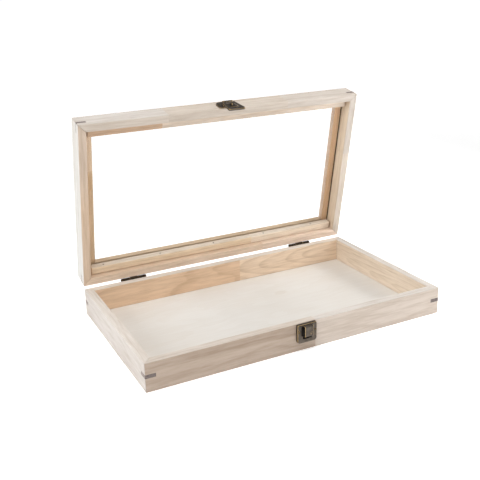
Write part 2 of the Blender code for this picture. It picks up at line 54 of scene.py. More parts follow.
# Joinery
FIT_GAP = 0.3 * MM          # the gap that the CAD keeps between pieces that rest on each other
MITRE_GAP = 0.04 * MM       # half the glue line of a mitre
EASED = 0.45 * MM           # radius of a board's sanded edges
CORNER_RADIUS = 0.7 * MM    # radius of the case's upright corners
KEY_GAP = 0.06 * MM         # glue line around a spline
OVERCUT = 2 * MM            # how far a cutting shape reaches out of the wood

# Distances from a board's edge between which the tone of one face gives way to that of the next
NEAR, MIDDLE, FAR = 0.1 * MM, 0.3 * MM, 0.4 * MM

# Sheet metal
SHEET = 0.8 * MM
METAL_EDGE = 0.28 * MM      # width of the worn edge of pressed metal
ARC_STEPS = 6
NAIL_DOME = 0.6 * MM        # height of a nail's head above the sheet it holds

SIDE_TURN = {"front": 0, "right": math.pi / 2, "back": math.pi, "left": -math.pi / 2}
ALONG_X = Matrix.Rotation(math.pi / 2, 4, "Y")
TO_FRONT = Matrix.Rotation(math.pi / 2, 4, "X")     # turns local +Z to the front
TO_BACK = Matrix.Rotation(-math.pi / 2, 4, "X")

JOINTS = {joint["name"]: joint for joint in frame["joints"]}
LEAN = math.radians(JOINTS["lid_hinge"]["range_deg"][0])
BODY_OF = {node: body for body, nodes in frame["record"]["behaviour"]["bodies"].items()
           for node in nodes}
FRAMES = {
    "base": Matrix.Identity(4),
    "lid": Matrix.Translation(JOINTS["lid_hinge"]["pos_m"]) @ Matrix.Rotation(LEAN, 4, "X"),
    "flap": Matrix.Translation(JOINTS["hasp_swing"]["pos_m"]) @ Matrix.Rotation(LEAN, 4, "X"),
}

scene = bpy.context.scene
pieces = bpy.data.collections.new("display_case")
scene.collection.children.link(pieces)


def local_box(node):
    """Lowest and highest corners of a CAD node in its body's own frame."""
    inward = FRAMES[BODY_OF[node]].inverted()
    points = [inward @ vertex.co for vertex in frame["nodes"][node].data.vertices]
    return (Vector([min(point[i] for point in points) for i in range(3)]),
            Vector([max(point[i] for point in points) for i in range(3)]))


# ---------------------------------------------------------------- shader building

def linear(red, green, blue):
    """A scene-linear colour from display values of 0 to 255."""
    def channel(value):
        value /= 255
        return value / 12.92 if value <= 0.04045 else ((value + 0.055) / 1.055) ** 2.4
    return (channel(red), channel(green), channel(blue), 1)


class Shader:
    """A material with a Principled shader, and short ways to add nodes in front of it."""

    def __init__(self, name):
        self.material = bpy.data.materials.new(name)
        self.material.use_nodes = True
        self.tree = self.material.node_tree
        self.principled = self.tree.nodes["Principled BSDF"]

    def feed(self, socket, value):
        if isinstance(value, bpy.types.NodeSocket):
            self.tree.links.new(value, socket)
        else:
            socket.default_value = value

    def node(self, kind, inputs, **settings):
        node = self.tree.nodes.new(kind)
        for key, value in settings.items():
            setattr(node, key, value)
        for key, value in inputs.items():
            self.feed(node.inputs[key], value)
        return node

    def set(self, **inputs):
        for key, value in inputs.items():
            self.feed(self.principled.inputs[key.replace("_", " ")], value)

    def math(self, operation, *values):
        return self.node("ShaderNodeMath", dict(enumerate(values)), operation=operation).outputs[0]

    def stretched(self, vector, scale, shift=(0, 0, 0)):
        return self.node("ShaderNodeVectorMath", {0: vector, 1: scale, 2: shift},
                         operation="MULTIPLY_ADD").outputs[0]

    def noise(self, vector, detail=2.0, roughness=0.5):
        """Noise of about 0 to 1 whose features are about one unit of the vector long."""
        return self.node("ShaderNodeTexNoise", {"Vector": vector, "Scale": 1.0, "Detail": detail,
                                                "Roughness": roughness}).outputs[0]

    def remap(self, value, low, high, start=0.0, end=1.0, smooth=False):
        kind = "SMOOTHSTEP" if smooth else "LINEAR"
        return self.node("ShaderNodeMapRange", {"Value": value, "From Min": low, "From Max": high,
                                                "To Min": start, "To Max": end},
                         interpolation_type=kind).outputs[0]

    def mix(self, share, first, second):
        node = self.node("ShaderNodeMix", {}, data_type="RGBA")
        for socket, value in ((0, share), (6, first), (7, second)):
            self.feed(node.inputs[socket], value)
        return node.outputs[2]

    def ramp(self, value, stops):
        node = self.node("ShaderNodeValToRGB", {0: value})
        elements = node.color_ramp.elements
        while len(elements) < len(stops):
            elements.new(1.0)
        for element, (place, level) in zip(elements, stops):
            element.position = place
            element.color = (level, level, level, 1)
        return node.outputs[0]

    def bump(self, height, depth):
        """Sets the normal from a height of 0 to 1 that stands for a real depth."""
        node = self.node("ShaderNodeBump", {"Height": height, "Strength": 1.0, "Distance": depth})
        self.set(Normal=node.outputs[0])


# Darkness of the wood from one ring to the next: (share of the ring, darkness)
RING_PROFILE = ((0, 0.25), (0.12, 0.05), (0.55, 0.2), (0.86, 0.85), (0.95, 1), (1, 0.3))


def timber(name, light, dark, seed, pith=(0.04, 0.01), slope=0.02, ring=0.004, contrast=0.3,
           heart=None, zones=()):
    """Planed softish wood.  Its grain runs along the first axis of the mesh's grain attribute;
    pith is where the tree's middle lies from the board across the other two, slope how far the
    rings drift along the board, ring their spacing and contrast the strength of the late wood.
    Above the height called heart the board is darker.  Each zone replaces the tone of the part of
    the board where one of the grain's axes passes from one place to another."""
    shader = Shader(name)
    draw = random.Random(seed)
    drift = tuple(draw.uniform(0, 40) for _ in range(3))
    grain = shader.node("ShaderNodeAttribute", {}, attribute_name="grain").outputs["Vector"]

    sway = shader.noise(shader.stretched(grain, (9, 28, 28), drift), 1.5)
    wander = shader.noise(shader.stretched(grain, (17, 60, 60), drift[::-1]), 2.0)
    axes = shader.node("ShaderNodeSeparateXYZ", {0: grain})
    along, deep, high = axes.outputs
    lateral = shader.math("MULTIPLY_ADD", along, slope, shader.math("MULTIPLY", sway, 0.016))
    across = shader.math("ADD", shader.math("ADD", deep, pith[0]), lateral)
    upward = shader.math("MULTIPLY_ADD", wander, 0.007, shader.math("ADD", high, pith[1]))
    square = shader.math("ADD", shader.math("MULTIPLY", across, across),
                         shader.math("MULTIPLY", upward, upward))
    turn = shader.math("FRACT", shader.math("DIVIDE", shader.math("SQRT", square), ring))
    late = shader.ramp(turn, RING_PROFILE)

    fibres = shader.noise(shader.stretched(grain, (22, 620, 620), drift), 4.0, 0.6)
    flecks = shader.noise(shader.stretched(grain, (42, 430, 430), drift[::-1]), 3.0, 0.6)
    streaks = shader.noise(shader.stretched(grain, (7, 120, 120), drift[::-1]), 3.0)
    blotches = shader.noise(shader.stretched(grain, (14, 32, 32), drift), 2.0)
    pores = shader.remap(shader.noise(shader.stretched(grain, (170, 2600, 2600), drift), 1.0),
                         0.64, 0.74)

    tone = shader.math("MULTIPLY_ADD", late, contrast, 0.15)
    for layer, strength in ((fibres, 0.12), (flecks, 0.28), (streaks, 0.2), (blotches, 0.1)):
        tone = shader.math("ADD", tone, shader.remap(layer, 0.3, 0.7, -strength, strength))
    tone = shader.math("ADD", tone, shader.math("MULTIPLY", pores, 0.12))
    if heart:
        edge = shader.math("MULTIPLY_ADD", wander, 0.006, high)
        darker = shader.remap(edge, heart + 1 * MM, heart + 5 * MM, 0, 0.3, smooth=True)
        tone = shader.math("ADD", tone, darker)
    colour = shader.mix(tone, light, dark)
    for axis, start, end, (zone_light, zone_dark) in zones:
        colour = shader.mix(shader.remap(axes.outputs[axis], start, end), colour,
                            shader.mix(tone, zone_light, zone_dark))
    shader.set(Base_Color=colour, Roughness=shader.remap(fibres, 0.3, 0.7, 0.48, 0.66))
    height = shader.math("SUBTRACT", fibres, shader.math("MULTIPLY", pores, 0.8))
    shader.bump(height, 0.05 * MM)
    return shader.material


def plywood(name, knot, own_tones, lightened_tones):
    """A pale peeled veneer with wide, faint figure running along the case and one faint knot.  It
    turns from its own (early, late) colours to lighter ones towards the ends and the back: painted
    light, which lifts the shade near the case's walls there."""
    shader = Shader(name)
    grain = shader.node("ShaderNodeAttribute", {}, attribute_name="grain").outputs["Vector"]
    figure = shader.noise(shader.stretched(grain, (6, 24, 24)), 2.5)
    bands = shader.math("FRACT", shader.math("MULTIPLY", figure, 9))
    cloud = shader.noise(shader.stretched(grain, (9, 14, 14), (3, 8, 1)), 2.0)
    fibres = shader.noise(shader.stretched(grain, (30, 900, 900)), 3.0, 0.6)
    away = shader.stretched(grain, (0.55, 1, 0), (-0.55 * knot[0], -knot[1], 0))
    ragged = shader.stretched(shader.node("ShaderNodeTexNoise", {"Vector": grain, "Scale": 120.0})
                              .outputs["Color"], (0.004, 0.004, 0), (-0.002, -0.002, 0))
    distance = shader.node("ShaderNodeVectorMath", {0: shader.node(
        "ShaderNodeVectorMath", {0: away, 1: ragged}, operation="ADD").outputs[0]},
        operation="LENGTH").outputs["Value"]
    tone = shader.math("ADD", shader.remap(bands, 0, 1, -0.1, 0.14),
                       shader.remap(cloud, 0.3, 0.7, 0.1, 0.75))
    tone = shader.math("ADD", tone, shader.remap(fibres, 0.3, 0.7, -0.16, 0.16))
    tone = shader.math("ADD", tone, shader.remap(distance, 1 * MM, 6 * MM, 1.5, 0, smooth=True))
    place = shader.node("ShaderNodeSeparateXYZ", {0: grain}).outputs
    sideways = shader.remap(shader.math("ABSOLUTE", place[0]), 30 * MM, 130 * MM, 0, 0.5)
    share = shader.math("ADD", sideways, shader.remap(place[1], 10 * MM, 85 * MM, 0, 0.5))
    veneer = [shader.mix(shader.remap(tone, 0, 2, 0, 2), early, late)
              for early, late in (own_tones, lightened_tones)]
    shader.set(Base_Color=shader.mix(share, *veneer),
               Roughness=shader.remap(fibres, 0.3, 0.7, 0.55, 0.7))
    shader.bump(fibres, 0.03 * MM)
    return shader.material


def dark_spline(name, light, dark):
    """Stained close-grained wood."""
    shader = Shader(name)
    grain = shader.node("ShaderNodeAttribute", {}, attribute_name="grain").outputs["Vector"]
    fibres = shader.noise(shader.stretched(grain, (90, 700, 700)), 3.0, 0.6)
    shader.set(Base_Color=shader.mix(shader.remap(fibres, 0.3, 0.7), light, dark),
               Roughness=shader.remap(fibres, 0.3, 0.7, 0.55, 0.75))
    shader.bump(fibres, 0.05 * MM)
    return shader.material


def plated(name, face, rubbed, wear, roughness):
    """Dark plated metal, rubbed through to brass in patches; wear is the share rubbed away."""
    shader = Shader(name)
    place = shader.node("ShaderNodeTexCoord", {}).outputs["Object"]
    patches = shader.noise(shader.stretched(place, (700, 700, 700)), 4.0, 0.65)
    cloud = shader.noise(shader.stretched(place, (170, 170, 170), (5, 2, 9)), 3.0)
    edge = 0.72 - 0.44 * wear
    both = shader.math("MULTIPLY_ADD", cloud, 0.5, shader.math("MULTIPLY", patches, 0.5))
    wear_and_light = shader.remap(both, edge - 0.07, edge + 0.07)
    tarnish = shader.mix(shader.remap(cloud, 0.35, 0.65), face,
                         tuple(0.62 * channel for channel in face[:3]) + (1,))
    shader.set(Base_Color=shader.mix(wear_and_light, tarnish, rubbed), Metallic=1.0,
               Roughness=shader.remap(wear_and_light, 0, 1, roughness + 0.12, roughness))
    shader.bump(patches, 0.03 * MM)
    return shader.material


def painted_shade(name):
    """Painted shade: a dull, nearly black sheet set inside the catch behind its window, where there is
    only shade.
    """
    shader = Shader(name)
    place = shader.node("ShaderNodeTexCoord", {}).outputs["Object"]
    shade_paint = shader.noise(shader.stretched(place, (900, 900, 900)), 3.0)
    shader.set(Base_Color=shader.mix(shade_paint, linear(20, 17, 14), linear(46, 38, 30)),
               Roughness=shader.remap(shade_paint, 0.3, 0.7, 0.8, 0.95))
    shader.bump(shade_paint, 0.05 * MM)
    return shader.material


def clear_glass(name):
    """Float glass seen through its face: a tinted film that mirrors more at a low angle."""
    shader = Shader(name)
    tree = shader.tree
    tree.nodes.remove(shader.principled)
    film = shader.node("ShaderNodeBsdfTransparent", {"Color": (0.99, 0.995, 0.99, 1)})
    mirror = shader.node("ShaderNodeBsdfGlossy", {"Color": (1, 1, 1, 1), "Roughness": 0.02})
    facing = shader.node("ShaderNodeLayerWeight", {"Blend": 0.5}).outputs["Facing"]
    share = shader.math("MULTIPLY_ADD", shader.math("POWER", facing, 5.0), 0.96, 0.04)
    blend = shader.node("ShaderNodeMixShader", {0: share, 1: film.outputs[0],
                                                2: mirror.outputs[0]})
    tree.links.new(blend.outputs[0], tree.nodes["Material Output"].inputs["Surface"])
    return shader.material


def glass_edge(name):
    """The pane's cut edge, dark because light is trapped inside the sheet; its dark brown is also
    painted shade, for the shade in the gap where the pane meets the wood.
    """
    shader = Shader(name)
    place = shader.node("ShaderNodeTexCoord", {}).outputs["Object"]
    chips = shader.noise(shader.stretched(place, (500, 500, 500)), 3.0)
    shader.set(Base_Color=shader.mix(chips, linear(58, 50, 38), linear(92, 80, 60)),
               Roughness=shader.remap(chips, 0.3, 0.7, 0.2, 0.45), IOR=1.5)
    shader.bump(chips, 0.05 * MM)
    return shader.material


# ---------------------------------------------------------------- mesh tools

def rounded(corners, radii, steps=ARC_STEPS, closed=True):
    """An outline whose corners are replaced by arcs of the given radii; 0 keeps a corner sharp."""
    outline = []
    count = len(corners)
    for i, ((x, y), radius) in enumerate(zip(corners, radii)):
        if radius == 0 or (not closed and i in (0, count - 1)):
            outline.append((x, y))
            continue
        (px, py), (nx, ny) = corners[i - 1], corners[(i + 1) % count]
        to_previous = math.atan2(py - y, px - x)
        to_next = math.atan2(ny - y, nx - x)
        turn = (to_next - to_previous + math.pi) % (2 * math.pi) - math.pi
        bisector = to_previous + turn / 2
        reach = radius / math.sin(abs(turn) / 2)
        cx, cy = x + reach * math.cos(bisector), y + reach * math.sin(bisector)
        side = math.copysign(math.pi / 2, turn)
        start, sweep = to_previous - side, math.copysign(math.pi - abs(turn), -turn)
        for step in range(steps + 1):
            angle = start + sweep * step / steps
            outline.append((cx + radius * math.cos(angle), cy + radius * math.sin(angle)))
    return outline


def rectangle(left, bottom, right, top):
    """Its corners, anticlockwise."""
    return [(left, bottom), (right, bottom), (right, top), (left, top)]


def inset(corners, distance):
    """A convex outline, listed anticlockwise, with every side moved inwards by the distance."""
    moved = []
    count = len(corners)
    for i in range(count):
        sides = []
        for start, end in ((corners[i - 1], corners[i]), (corners[i], corners[(i + 1) % count])):
            along = (Vector(end) - Vector(start)).normalized()
            inward = Vector((-along.y, along.x))
            sides.append((Vector(start) + inward * distance, along, inward))
        (first, along, _), (second, _, inward) = sides
        travel = (second - first).dot(inward) / along.dot(inward)
        moved.append(tuple(first + along * travel))
    return moved


def loft(shape, loops):
    """Joins closed loops of the same number of points by rings of faces."""
    rings = [[shape.verts.new(point) for point in loop] for loop in loops]
    count = len(rings[0])
    for inner, outer in zip(rings, rings[1:]):
        for i in range(count):
            shape.faces.new((inner[i], inner[(i + 1) % count], outer[(i + 1) % count], outer[i]))
    return rings


def solid(first, last):
    """A mesh being built: two closed loops joined by faces and capped."""
    shape = bmesh.new()
    for ring in loft(shape, (first, last)):
        shape.faces.new(ring)
    bmesh.ops.recalc_face_normals(shape, faces=shape.faces)
    return shape


def prism(outline, start, end):
    """A mesh being built: a flat outline in (y, z) drawn out along X from start to end."""
    return solid(*([(x, y, z) for y, z in outline] for x in (start, end)))


def slab(outline, thickness):
    """A mesh being built: a flat outline in (x, y), half its thickness above it and half below."""
    return solid(*([(x, y, z) for x, y in outline] for z in (-thickness / 2, thickness / 2)))


def box(low, high):
    """A mesh being built: a plain box between two corners."""
    shape = bmesh.new()
    bmesh.ops.create_cube(shape, size=1)
    bmesh.ops.scale(shape, vec=high - low, verts=shape.verts)
    bmesh.ops.translate(shape, vec=(low + high) / 2, verts=shape.verts)
    return shape


def cut_off(shape, point, outward):
    """Cuts away what lies beyond a plane, and closes the cut."""
    everything = shape.verts[:] + shape.edges[:] + shape.faces[:]
    cut = bmesh.ops.bisect_plane(shape, geom=everything, plane_co=point, plane_no=outward,
                                 clear_outer=True, dist=1e-7)
    rim = [item for item in cut["geom_cut"] if isinstance(item, bmesh.types.BMEdge)]
    bmesh.ops.contextual_create(shape, geom=rim)


def divide(shape, x):
    """Adds a ring of edges where a plane square to X meets the shape."""
    everything = shape.verts[:] + shape.edges[:] + shape.faces[:]
    bmesh.ops.bisect_plane(shape, geom=everything, plane_co=(x, 0, 0), plane_no=(1, 0, 0),
                           dist=1e-7)


def turned(profile, segments=32):
    """A mesh being built: a profile of (radius, height) points from the top down, about Z."""
    shape = bmesh.new()
    rings = []
    for radius, height in profile:
        if radius == 0:
            rings.append([shape.verts.new((0, 0, height))] * segments)
            continue
        rings.append([shape.verts.new((radius * math.cos(2 * math.pi * i / segments),
                                       radius * math.sin(2 * math.pi * i / segments), height))
                      for i in range(segments)])
    for upper, lower in zip(rings, rings[1:]):
        for i in range(segments):
            j = (i + 1) % segments
            corners = dict.fromkeys((upper[i], lower[i], lower[j], upper[j]))
            if len(corners) > 2:
                shape.faces.new(corners)
    bmesh.ops.recalc_face_normals(shape, faces=shape.faces)
    return shape


def piece(name, shape, materials, place, node=None):
    """An object from a mesh being built; place takes it from its own frame to its body's."""
    node = node or name
    body = BODY_OF[node]
    mesh = bpy.data.meshes.new(name)
    shape.to_mesh(mesh)
    shape.free()
    mesh.transform(FRAMES[body] @ place)
    mesh.shade_smooth()
    for material in materials:
        mesh.materials.append(material)
    thing = bpy.data.objects.new(name + "_look", mesh)
    pieces.objects.link(thing)
    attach(thing, body)
    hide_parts(node)
    return thing


def bevelled(thing, width, material=-1):
    """Rounds a thing's edges; the rounding can have a material of its own."""
    bevel = thing.modifiers.new("eased", "BEVEL")
    bevel.width = width
    bevel.segments = 2
    bevel.limit_method = "ANGLE"
    bevel.angle_limit = math.radians(50)
    bevel.material = material
    bevel.use_clamp_overlap = True
    return thing


def even_shading(thing, sharp=None):
    """Keeps flat faces flat beside their rounded edges."""
    if sharp:
        thing.data.set_sharp_from_angle(angle=math.radians(sharp))
    normals = thing.modifiers.new("flat_faces", "WEIGHTED_NORMAL")
    normals.weight = 80
    normals.keep_sharp = True
    return thing


def store_grain(mesh, inward):
    """Stores each point's place in the board, which carries the grain of its material."""
    layer = mesh.attributes.new("grain", "FLOAT_VECTOR", "POINT")
    for vertex, item in zip(mesh.vertices, layer.data):
        item.vector = inward @ vertex.co


# ---------------------------------------------------------------- wood

def shades(red, green, blue):
    """The early and late wood of a board, from its average colour in display values."""
    average = linear(red, green, blue)[:3]
    return (tuple(1.08 * channel for channel in average) + (1,),
            tuple(share * channel for share, channel in zip((0.76, 0.7, 0.63), average)) + (1,))


# Rims, lips and ends have tones of their own.  These differences between the faces of one board
# are painted light and shade, not wood.  Painted sheen makes the rims of the base's walls greyer,
# and the left rail's outer face and the left end of the lid's front rail greyer too.  The lips are
# warmer, lighter at the sides and darker at the back, as painted light and shade, and painted
# shade darkens the right lip's edge, the right rail's rim, the lid's back rail on its inner face
# and the back bead's top.  Part of the light and shade is painted into the boards' own tones as
# well: the base's left wall is greyer for the light from the left, and the front bead browner for
# the shade that it lies in.
FRONT_LEFT, FRONT_RIGHT = shades(185, 167, 151), shades(206, 193, 181)
BACK_LEFT, BACK_RIGHT = shades(226, 195, 164), shades(233, 210, 185)
LEFT_WALL, RIGHT_WALL = shades(188, 181, 175), shades(213, 197, 178)
BASE_RIM, BACK_RIM = shades(201, 192, 183), shades(206, 196, 186)
LEFT_RIM, BASE_RIM_RIGHT = shades(204, 196, 188), shades(195, 188, 181)
RAIL_FRONT, RAIL_FRONT_END = shades(192, 181, 169), shades(193, 184, 175)
RAIL_BACK_RIGHT, RAIL_BACK_LEFT = shades(228, 207, 189), shades(231, 210, 189)
RAIL_LEFT_BACK, RAIL_LEFT_FRONT = shades(207, 184, 161), shades(194, 176, 159)
RAIL_RIGHT, LEFT_LIP = shades(208, 190, 168), shades(218, 186, 150)
RIGHT_RIM_FRONT, RIGHT_RIM = shades(185, 175, 165), shades(197, 185, 172)
BACK_LIP, WALL_BACK_END = shades(218, 190, 160), shades(213, 192, 173)
LIP, LIP_EDGE, WALL_BACK = shades(230, 190, 152), shades(190, 158, 130), shades(203, 179, 156)
FRONT_END, BEAD_TOP = shades(193, 186, 179), shades(218, 203, 185)
OUTER_LEFT = shades(196, 194, 190)
BEAD_BROWN, BEAD_GREY = shades(191, 162, 135), shades(210, 195, 179)
BEAD_YELLOW, BEAD_PALE = shades(232, 209, 180), shades(234, 217, 197)
# The veneer's own colours, and lighter ones towards the panel's ends and back: painted light.
VENEER, VENEER_LATE = linear(201, 198, 193), linear(193, 187, 179)
VENEER_LIGHTENED, VENEER_LIGHTENED_LATE = linear(219, 215, 209), linear(211, 203, 193)


def key_cutter(place, leg, thickness):
    """A triangular prism at a corner of the case, its right angle outwards."""
    shape = slab([(-OVERCUT, -OVERCUT), (leg + OVERCUT, -OVERCUT), (-OVERCUT, leg + OVERCUT)],
                 thickness)
    shape.transform(place)
    return shape


def subtract(thing, shapes):
    """Cuts shapes, given in the thing's mesh frame, out of it and applies the cuts."""
    for shape in shapes:
        mesh = bpy.data.meshes.new("cutter")
        shape.to_mesh(mesh)
        shape.free()
        tool = bpy.data.objects.new("cutter", mesh)
        scene.collection.objects.link(tool)
        cut = thing.modifiers.new("cut", "BOOLEAN")
        cut.operation = "DIFFERENCE"
        cut.solver = "EXACT"
        cut.object = tool
    depsgraph = bpy.context.evaluated_depsgraph_get()
    old = thing.data
    thing.data = bpy.data.meshes.new_from_object(thing.evaluated_get(depsgraph))
    tools = [modifier.object for modifier in thing.modifiers]
    thing.modifiers.clear()
    bpy.data.meshes.remove(old)
    for tool in tools:
        bpy.data.objects.remove(tool)


def corner_frames(prefix):
    """The four splines of a frame: {(side, side): (place in the body's frame, leg, thickness)}."""
    found = {}
    for front_or_back in ("front", "back"):
        for left_or_right in ("left", "right"):
            low, high = local_box(f"{prefix}_key_{front_or_back}_{left_or_right}")
            x = low.x if left_or_right == "left" else high.x
            y = low.y if front_or_back == "front" else high.y
            turn = {("front", "left"): 0, ("front", "right"): 1,
                    ("back", "right"): 2, ("back", "left"): 3}[front_or_back, left_or_right]
            place = (Matrix.Translation((x, y, (low.z + high.z) / 2))
                     @ Matrix.Rotation(turn * math.pi / 2, 4, "Z"))
            found[front_or_back, left_or_right] = (place, high.x - low.x, high.z - low.z)
    return found


def rail(node, side, section, radii, blocks, cutters):
    """A mitred rail.  Its own frame runs along X with Y going into the case from its outer face;
    blocks lists the shares of its length where one block is jointed to the next, and the
    material of each block."""
    low, high = local_box(node)
    sideways = side in ("left", "right")
    length = high.y - low.y if sideways else high.x - low.x
    middle = (low + high) / 2
    face = {"front": (middle.x, low.y), "back": (middle.x, high.y),
            "left": (low.x, middle.y), "right": (high.x, middle.y)}[side]
    place = Matrix.Translation((*face, low.z)) @ Matrix.Rotation(SIDE_TURN[side], 4, "Z")
    half = length / 2
    shape = prism(rounded(section, radii, 3), -half - 1 * MM, half + 1 * MM)
    for end in (-1, 1):
        cut_off(shape, (end * (half - MITRE_GAP), 0, 0), (end, 1, 0))
        for degrees in (15, 30, 45):
            lean = math.radians(degrees)
            outward = Vector((end * math.sin(lean), -math.cos(lean), 0))
            centre = Vector((end * (half - CORNER_RADIUS), CORNER_RADIUS, 0))
            cut_off(shape, centre + outward * CORNER_RADIUS, outward)
    joints, materials = blocks
    for share in joints:
        divide(shape, (share - 0.5) * length)
    thing = piece(node, shape, materials, place)
    subtract(thing, cutters)
    mesh = thing.data
    inward = (FRAMES[BODY_OF[node]] @ place).inverted()
    for face in mesh.polygons:
        share = (inward @ face.center).x / length + 0.5
        face.material_index = sum(share > joint for joint in joints)
    store_grain(mesh, inward)
    return even_shading(thing, 32)


def key(name, place, leg, thickness, materials):
    """A spline, trimmed flush with both faces of its corner; its left face is the paler one, painted
    light for the strong light on the case's left side.
    """
    arc = [(CORNER_RADIUS - CORNER_RADIUS * math.cos(math.radians(angle)),
            CORNER_RADIUS - CORNER_RADIUS * math.sin(math.radians(angle)))
           for angle in range(0, 91, 15)]
    shape = slab(arc + [(leg, 0), (0, leg)], thickness)
    thing = piece(name, shape, materials, place)
    for face in thing.data.polygons:
        # Painted light: faces turned to the left take the paler material.
        face.material_index = int(face.normal.x < -0.7)
    store_grain(thing.data, (FRAMES[BODY_OF[name]] @ place @ Matrix.Rotation(-math.pi / 4, 4, "Z"))
                .inverted())
    return even_shading(thing, 32)


def wooden_frame(prefix, suffix, sections, radii, blocks, splines):
    """Four mitred rails, each with the section and blocks listed for its side, and four splines."""
    corners = corner_frames(prefix)
    body = FRAMES[prefix]
    for side in SIDE_TURN:
        cutters = [key_cutter(body @ place, leg + KEY_GAP, thickness + 2 * KEY_GAP)
                   for sides, (place, leg, thickness) in corners.items() if side in sides]
        rail(f"{prefix}_{side}_{suffix}", side, sections[side], radii, blocks[side], cutters)
    for (front_or_back, left_or_right), (place, leg, thickness) in corners.items():
        key(f"{prefix}_key_{front_or_back}_{left_or_right}", place, leg, thickness, splines)


def block_row(name, joints, tones, **grain):
    """The joints of a rail made of blocks, and one material for each of its blocks."""
    materials = []
    for i, (light, dark) in enumerate(tones):
        settings = {key: value[i] if isinstance(value, list) else value
                    for key, value in grain.items()}
        materials.append(timber(f"{name}_{i + 1}", light, dark, f"{name}{i}", **settings))
    return joints, materials


def make_base(splines):
    wall = local_box("base_front_wall")
    thickness, height = wall[1].y - wall[0].y, wall[1].z
    panel_low, panel_high = local_box("bottom_panel")
    rebate = panel_low.x - wall[0].x - FIT_GAP
    step = panel_high.z + FIT_GAP
    section = [(0, 0), (rebate, 0), (rebate, step), (thickness, step), (thickness, height),
               (0, height)]
    radii = (EASED, 0, 0, 0, EASED, EASED)
    # Painted sheen: the top faces of the walls take greyer rim tones of their own.
    left_rim, front_rim, right_rim, back_rim = (
        ((2, height - EASED, height - EASED / 2, tone),)
        for tone in (LEFT_RIM, BASE_RIM, BASE_RIM_RIGHT, BACK_RIM))
    blocks = {
        "front": block_row("front_wall", (0.534,), (FRONT_LEFT, FRONT_RIGHT), pith=(0.05, 0.004),
                           slope=0.012, ring=0.006, contrast=0.3, heart=[0.02, None],
                           zones=[front_rim, right_rim]),
        "back": block_row("back_wall", (0.44,), (BACK_RIGHT, BACK_LEFT),
                          pith=[(0.0067, -0.0225), (0.03, -0.012)], slope=[0.12, 0.05],
                          ring=0.0045, contrast=[0.5, 0.4], zones=back_rim),
        # The left wall's grey tone is partly painted light, for the light from the left.
        "left": block_row("left_wall", (), (LEFT_WALL,), pith=(0.06, 0.0), slope=0.04, ring=0.004,
                          contrast=0.2, zones=left_rim),
        "right": block_row("right_wall", (), (RIGHT_WALL,), pith=(-0.0105, -0.0135), slope=0.1,
                           ring=0.0045, contrast=0.4, zones=right_rim),
    }
    wooden_frame("base", "wall", dict.fromkeys(SIDE_TURN, section), radii, blocks, splines)
    # The panel's lighter veneer towards its ends and back is painted light.
    veneer = plywood("birch_veneer", knot=(46 * MM, 32 * MM), own_tones=(VENEER, VENEER_LATE),
                     lightened_tones=(VENEER_LIGHTENED, VENEER_LIGHTENED_LATE))
    panel = piece("bottom_panel", box(panel_low, panel_high), [veneer], Matrix.Identity(4))
    store_grain(panel.data, Matrix.Identity(4))
    even_shading(bevelled(panel, 0.25 * MM))


def make_lid(splines):
    low, high = local_box("lid_front_rail")
    pane_low, pane_high = local_box("glass_pane")
    wall = pane_low.x - low.x - FIT_GAP
    lip = pane_high.z + FIT_GAP - low.z
    height = high.z - low.z
    reaches, sections = {}, {}
    for side in SIDE_TURN:
        rail_low, rail_high = local_box(f"lid_{side}_rail")
        reach = min(rail_high.x - rail_low.x, rail_high.y - rail_low.y)
        reaches[side] = reach
        sections[side] = [(0, 0), (wall, 0), (wall, lip), (reach, lip), (reach, height),
                          (0, height)]
    radii = (EASED, EASED, 0, EASED, EASED, EASED)
    # Painted light and shade on single faces: the left rail's outer face is greyer as painted sheen, the lips'
    # faces warmer, lighter at the sides and darker at the back, and the right lip's edge darker as painted shade.
    outer = (1, FAR, NEAR, OUTER_LEFT)
    lip_face = (1, wall + NEAR, wall + FAR)
    lip_edge = (1, reaches["right"] - FAR, reaches["right"] - NEAR, LIP_EDGE)
    crown = (2, height - 0.5 * MM, height - 0.2 * MM, RAIL_FRONT)   # the top of the shut lid
    blocks = {
        # The outer face of the front rail's left block is greyer, as painted sheen.
        "front": block_row("lid_front", (0.29, 0.72), (RAIL_FRONT, RAIL_FRONT, RAIL_FRONT_END),
                           pith=(0.05, 0.02), slope=0.02, ring=0.005, contrast=0.25,
                           zones=[((1, FAR, NEAR, FRONT_END),), (), ()]),
        # Painted shade: the back rail's inner face is darker than the rest of the rail.
        "back": block_row("lid_back", (0.33,), (RAIL_BACK_RIGHT, RAIL_BACK_LEFT),
                          pith=(0.03, 0.04), slope=0.02, ring=0.004, contrast=0.3,
                          zones=[((1, wall - MIDDLE, wall - NEAR, tone), (*lip_face, BACK_LIP),
                                  crown) for tone in (WALL_BACK_END, WALL_BACK)]),
        "left": block_row("lid_left", (), (RAIL_LEFT_BACK,), pith=(0.02, 0.05), slope=0.02,
                          ring=0.004, contrast=0.25,
                          zones=((0, 0, 50 * MM, RAIL_LEFT_FRONT), (*lip_face, LEFT_LIP), crown,
                                 outer)),
        # Painted shade: the right rail's rim is darker and greyer, most of all on its front block.
        "right": block_row("lid_right", (0.4,), (RAIL_RIGHT, RAIL_RIGHT),
                           pith=(0.02, 0.05), slope=0.02, ring=0.004, contrast=0.25,
                           zones=[((2, FAR, NEAR, tone), (*lip_face, LIP), lip_edge, crown)
                                  for tone in (RIGHT_RIM_FRONT, RIGHT_RIM)]),
    }
    wooden_frame("lid", "rail", sections, radii, blocks, splines)


# A sunk brad's head, from its middle out: (share of its radius, height in mm)
BRAD_HEAD = ((0, -0.12), (0.35, -0.1), (0.5, -0.02), (0.8, 0), (0.97, -0.08), (1, -0.2),
             (1, -0.5), (0.55, -0.55))
BRAD_HOLE_DEPTH = 0.8 * MM
BRAD_POINT = 1 * MM
HOLE_WIDTH = 1.2            # a brad's hole against its head


